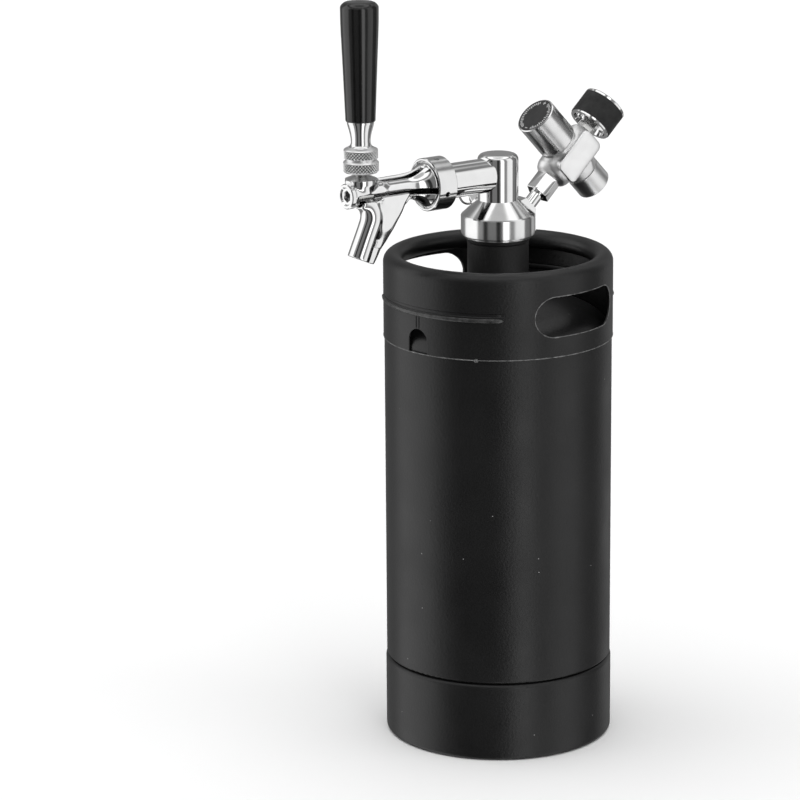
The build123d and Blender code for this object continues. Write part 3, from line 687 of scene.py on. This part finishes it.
paint(enamel("white_enamel", (0.80, 0.80, 0.77), (0.86, 0.86, 0.84), 0.35), "gauge_dial")
needle_black = enamel("needle_enamel", grey(0.01), grey(0.02), 0.4)
paint(needle_black, "gauge_needle")
DIAL_AT = REG_AT + GAS_DIR * FACE_OUT
DIAL_STEPS = 30
DIAL_SWEEP = 270
verts, faces = [], []
for i in range(DIAL_STEPS + 1):
    turn = math.radians(-DIAL_SWEEP * i / DIAL_STEPS)
    outward = KNOB_DIR * math.cos(turn) + SIDE_DIR * math.sin(turn)
    round_way = SIDE_DIR * math.cos(turn) - KNOB_DIR * math.sin(turn)
    half, half_wide = (0.0011, 0.00020) if i % 5 == 0 else (0.0006, 0.00011)
    raised_block(verts, faces, DIAL_AT + outward * (TICKS_OUT - half), outward, round_way,
                 GAS_DIR, half, half_wide, 0.00010)
dial_marks = finish_mesh("dial_marks", verts, faces, needle_black, smooth=False)
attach(dial_marks, "regulator")

clear_plastic = noisy_finish("clear_plastic", (60, 3.0, (0.93, 0.95, 0.95), (0.98, 0.99, 0.99)),
                             (160, 4.0, 0.01, 0.05),
                             settings={"Transmission Weight": 1.0, "IOR": 1.45})
paint(clear_plastic, "gauge_lens")

# ------------------------------------------------------------------ floor, light and camera
# A plain pale floor in a pale studio. Tall soft lights stand round the keg with dark gaps
# between them, which give the chrome its dark bands and the black coat its soft streaks.

VIEW_TURN = math.radians(54.32)
FLOOR_HALF = 40

floor_mesh = bpy.data.meshes.new("floor")
floor_mesh.from_pydata([(-FLOOR_HALF, -FLOOR_HALF, 0), (FLOOR_HALF, -FLOOR_HALF, 0),
                        (FLOOR_HALF, FLOOR_HALF, 0), (-FLOOR_HALF, FLOOR_HALF, 0)],
                       [], [(0, 1, 2, 3)])
floor = bpy.data.objects.new("floor", floor_mesh)
bpy.context.scene.collection.objects.link(floor)
pale, tree, shader = new_material("pale_floor")
tone = blend_colours(tree, spread(tree, grain(tree, 1.5, 3.0), 0, 1), grey(0.88), grey(0.91))
tree.links.new(tone, shader.inputs["Base Color"])
shader.inputs["Roughness"].default_value = 0.8
shader.inputs["Specular IOR Level"].default_value = 0.1
floor_mesh.materials.append(pale)
floor.visible_glossy = False

# Brightness all round the keg, as (degrees round from the camera, brightness).
STUDIO = [(-180, 0.28), (-150, 0.22), (-128, 0.28), (-118, 1.25), (-72, 1.35), (-64, 0.35),
          (-50, 0.28), (-45, 0.03), (-36, 0.03), (-31, 0.20), (-8, 0.20), (-5, 0.03), (4, 0.03),
          (8, 0.14), (13, 0.20), (17, 1.9), (31, 1.9), (36, 0.30), (48, 0.30), (56, 1.0), (86, 1.1),
          (92, 0.22), (112, 0.20), (120, 0.05), (130, 0.50), (150, 0.40), (158, 0.20), (180, 0.28)]
# Brightness overhead, as (height in the sky, brightness); it takes over from the bands
# between OVER_LOW and OVER_HIGH.
OVERHEAD = [(0.70, 0.62), (0.74, 0.12), (0.80, 0.12), (0.84, 0.70), (0.94, 0.70), (0.97, 0.30)]
OVER_LOW, OVER_HIGH = 0.55, 0.80
STRENGTH = 2.0  # the bands' colours are stored as brightness over this, to stay under one
world = bpy.data.worlds.new("studio")
bpy.context.scene.world = world
world.use_nodes = True
sky = world.node_tree
sky.nodes.clear()


def sum_node(kind, first, second=None):
    """One step of arithmetic in the studio's light."""
    step = sky.nodes.new("ShaderNodeMath")
    step.operation = kind
    for slot, value in zip(step.inputs, (first, second)):
        if value is None:
            continue
        if isinstance(value, (int, float)):
            slot.default_value = value
        else:
            sky.links.new(value, slot)
    return step.outputs[0]


place = sky.nodes.new("ShaderNodeTexCoord")
parts = sky.nodes.new("ShaderNodeSeparateXYZ")
sky.links.new(place.outputs["Generated"], parts.inputs["Vector"])
x, y, z = parts.outputs
turned = sum_node("ARCTAN2", x, sum_node("MULTIPLY", y, -1.0))
from_camera = sum_node("SUBTRACT", turned, VIEW_TURN)
wrapped = sum_node("WRAP", sum_node("DIVIDE", from_camera, 2 * math.pi), 0.5)
wrapped.node.inputs[2].default_value = -0.5
along = sum_node("ADD", wrapped, 0.5)
bands = sky.nodes.new("ShaderNodeValToRGB")
sky.links.new(along, bands.inputs["Fac"])
ramp = bands.color_ramp
while len(ramp.elements) > 1:
    ramp.elements.remove(ramp.elements[-1])
ramp.elements[0].position = 0.0
ramp.elements[0].color = (*grey(STUDIO[0][1] / STRENGTH), 1)
for degrees, level in STUDIO[1:]:
    stop = ramp.elements.new(degrees / 360 + 0.5)
    stop.color = (*grey(level / STRENGTH), 1)
overhead = sky.nodes.new("ShaderNodeMapRange")
overhead.interpolation_type = "SMOOTHSTEP"
overhead.inputs["From Min"].default_value = OVER_LOW
overhead.inputs["From Max"].default_value = OVER_HIGH
sky.links.new(z, overhead.inputs["Value"])
lit = sky.nodes.new("ShaderNodeMix")
lit.data_type = "RGBA"
sky.links.new(overhead.outputs["Result"], lit.inputs["Factor"])
crown = sky.nodes.new("ShaderNodeValToRGB")
sky.links.new(z, crown.inputs["Fac"])
crown.color_ramp.elements[0].position = OVER_LOW
crown.color_ramp.elements[0].color = (*grey(0.55), 1)
crown.color_ramp.elements[1].position = 1.0
crown.color_ramp.elements[1].color = (*grey(0.30), 1)
for position, level in OVERHEAD:
    stop = crown.color_ramp.elements.new(position)
    stop.color = (*grey(level), 1)
sky.links.new(crown.outputs["Color"], lit.inputs["B"])
sky.links.new(bands.outputs["Color"], lit.inputs["A"])
studio_light = sky.nodes.new("ShaderNodeBackground")
studio_light.inputs["Strength"].default_value = STRENGTH
sky.links.new(lit.outputs["Result"], studio_light.inputs["Color"])
backdrop = sky.nodes.new("ShaderNodeBackground")
backdrop.inputs["Color"].default_value = (*grey(0.95), 1)
path = sky.nodes.new("ShaderNodeLightPath")
either = sky.nodes.new("ShaderNodeMixShader")
sky.links.new(path.outputs["Is Camera Ray"], either.inputs["Fac"])
sky.links.new(studio_light.outputs["Background"], either.inputs[1])
sky.links.new(backdrop.outputs["Background"], either.inputs[2])
sky_out = sky.nodes.new("ShaderNodeOutputWorld")
sky.links.new(either.outputs["Shader"], sky_out.inputs["Surface"])
bpy.context.scene.view_settings.view_transform = "Standard"

# A broad light overhead brightens the floor and is left out of reflections.
sun_data = bpy.data.lights.new("overhead", "SUN")
sun_data.energy = 1.3
sun_data.angle = math.radians(70)
sun = bpy.data.objects.new("overhead", sun_data)
sun.visible_glossy = False
bpy.context.scene.collection.objects.link(sun)

camera_data = bpy.data.cameras.new("camera")
camera_data.sensor_width = 36.0
camera_data.lens = 166.19
camera_data.clip_start = 0.01
camera_data.clip_end = 200
camera = bpy.data.objects.new("camera", camera_data)
right = Vector((math.cos(VIEW_TURN), math.sin(VIEW_TURN), 0))
away = Vector((-math.sin(VIEW_TURN), math.cos(VIEW_TURN), 0))
LEFT_BY, BACK_BY, UP_BY = 0.06937, 2.5242, 0.90988
TIP, ROLL = 0.2588, -0.0078
camera.location = right * -LEFT_BY + away * -BACK_BY + Vector((0, 0, UP_BY))
look = away * math.cos(TIP) - Vector((0, 0, math.sin(TIP)))
level = look.to_track_quat("-Z", "Y")
camera.rotation_mode = "QUATERNION"
camera.rotation_quaternion = level @ Matrix.Rotation(ROLL, 4, "Z").to_quaternion()
bpy.context.scene.collection.objects.link(camera)
bpy.context.scene.camera = camera
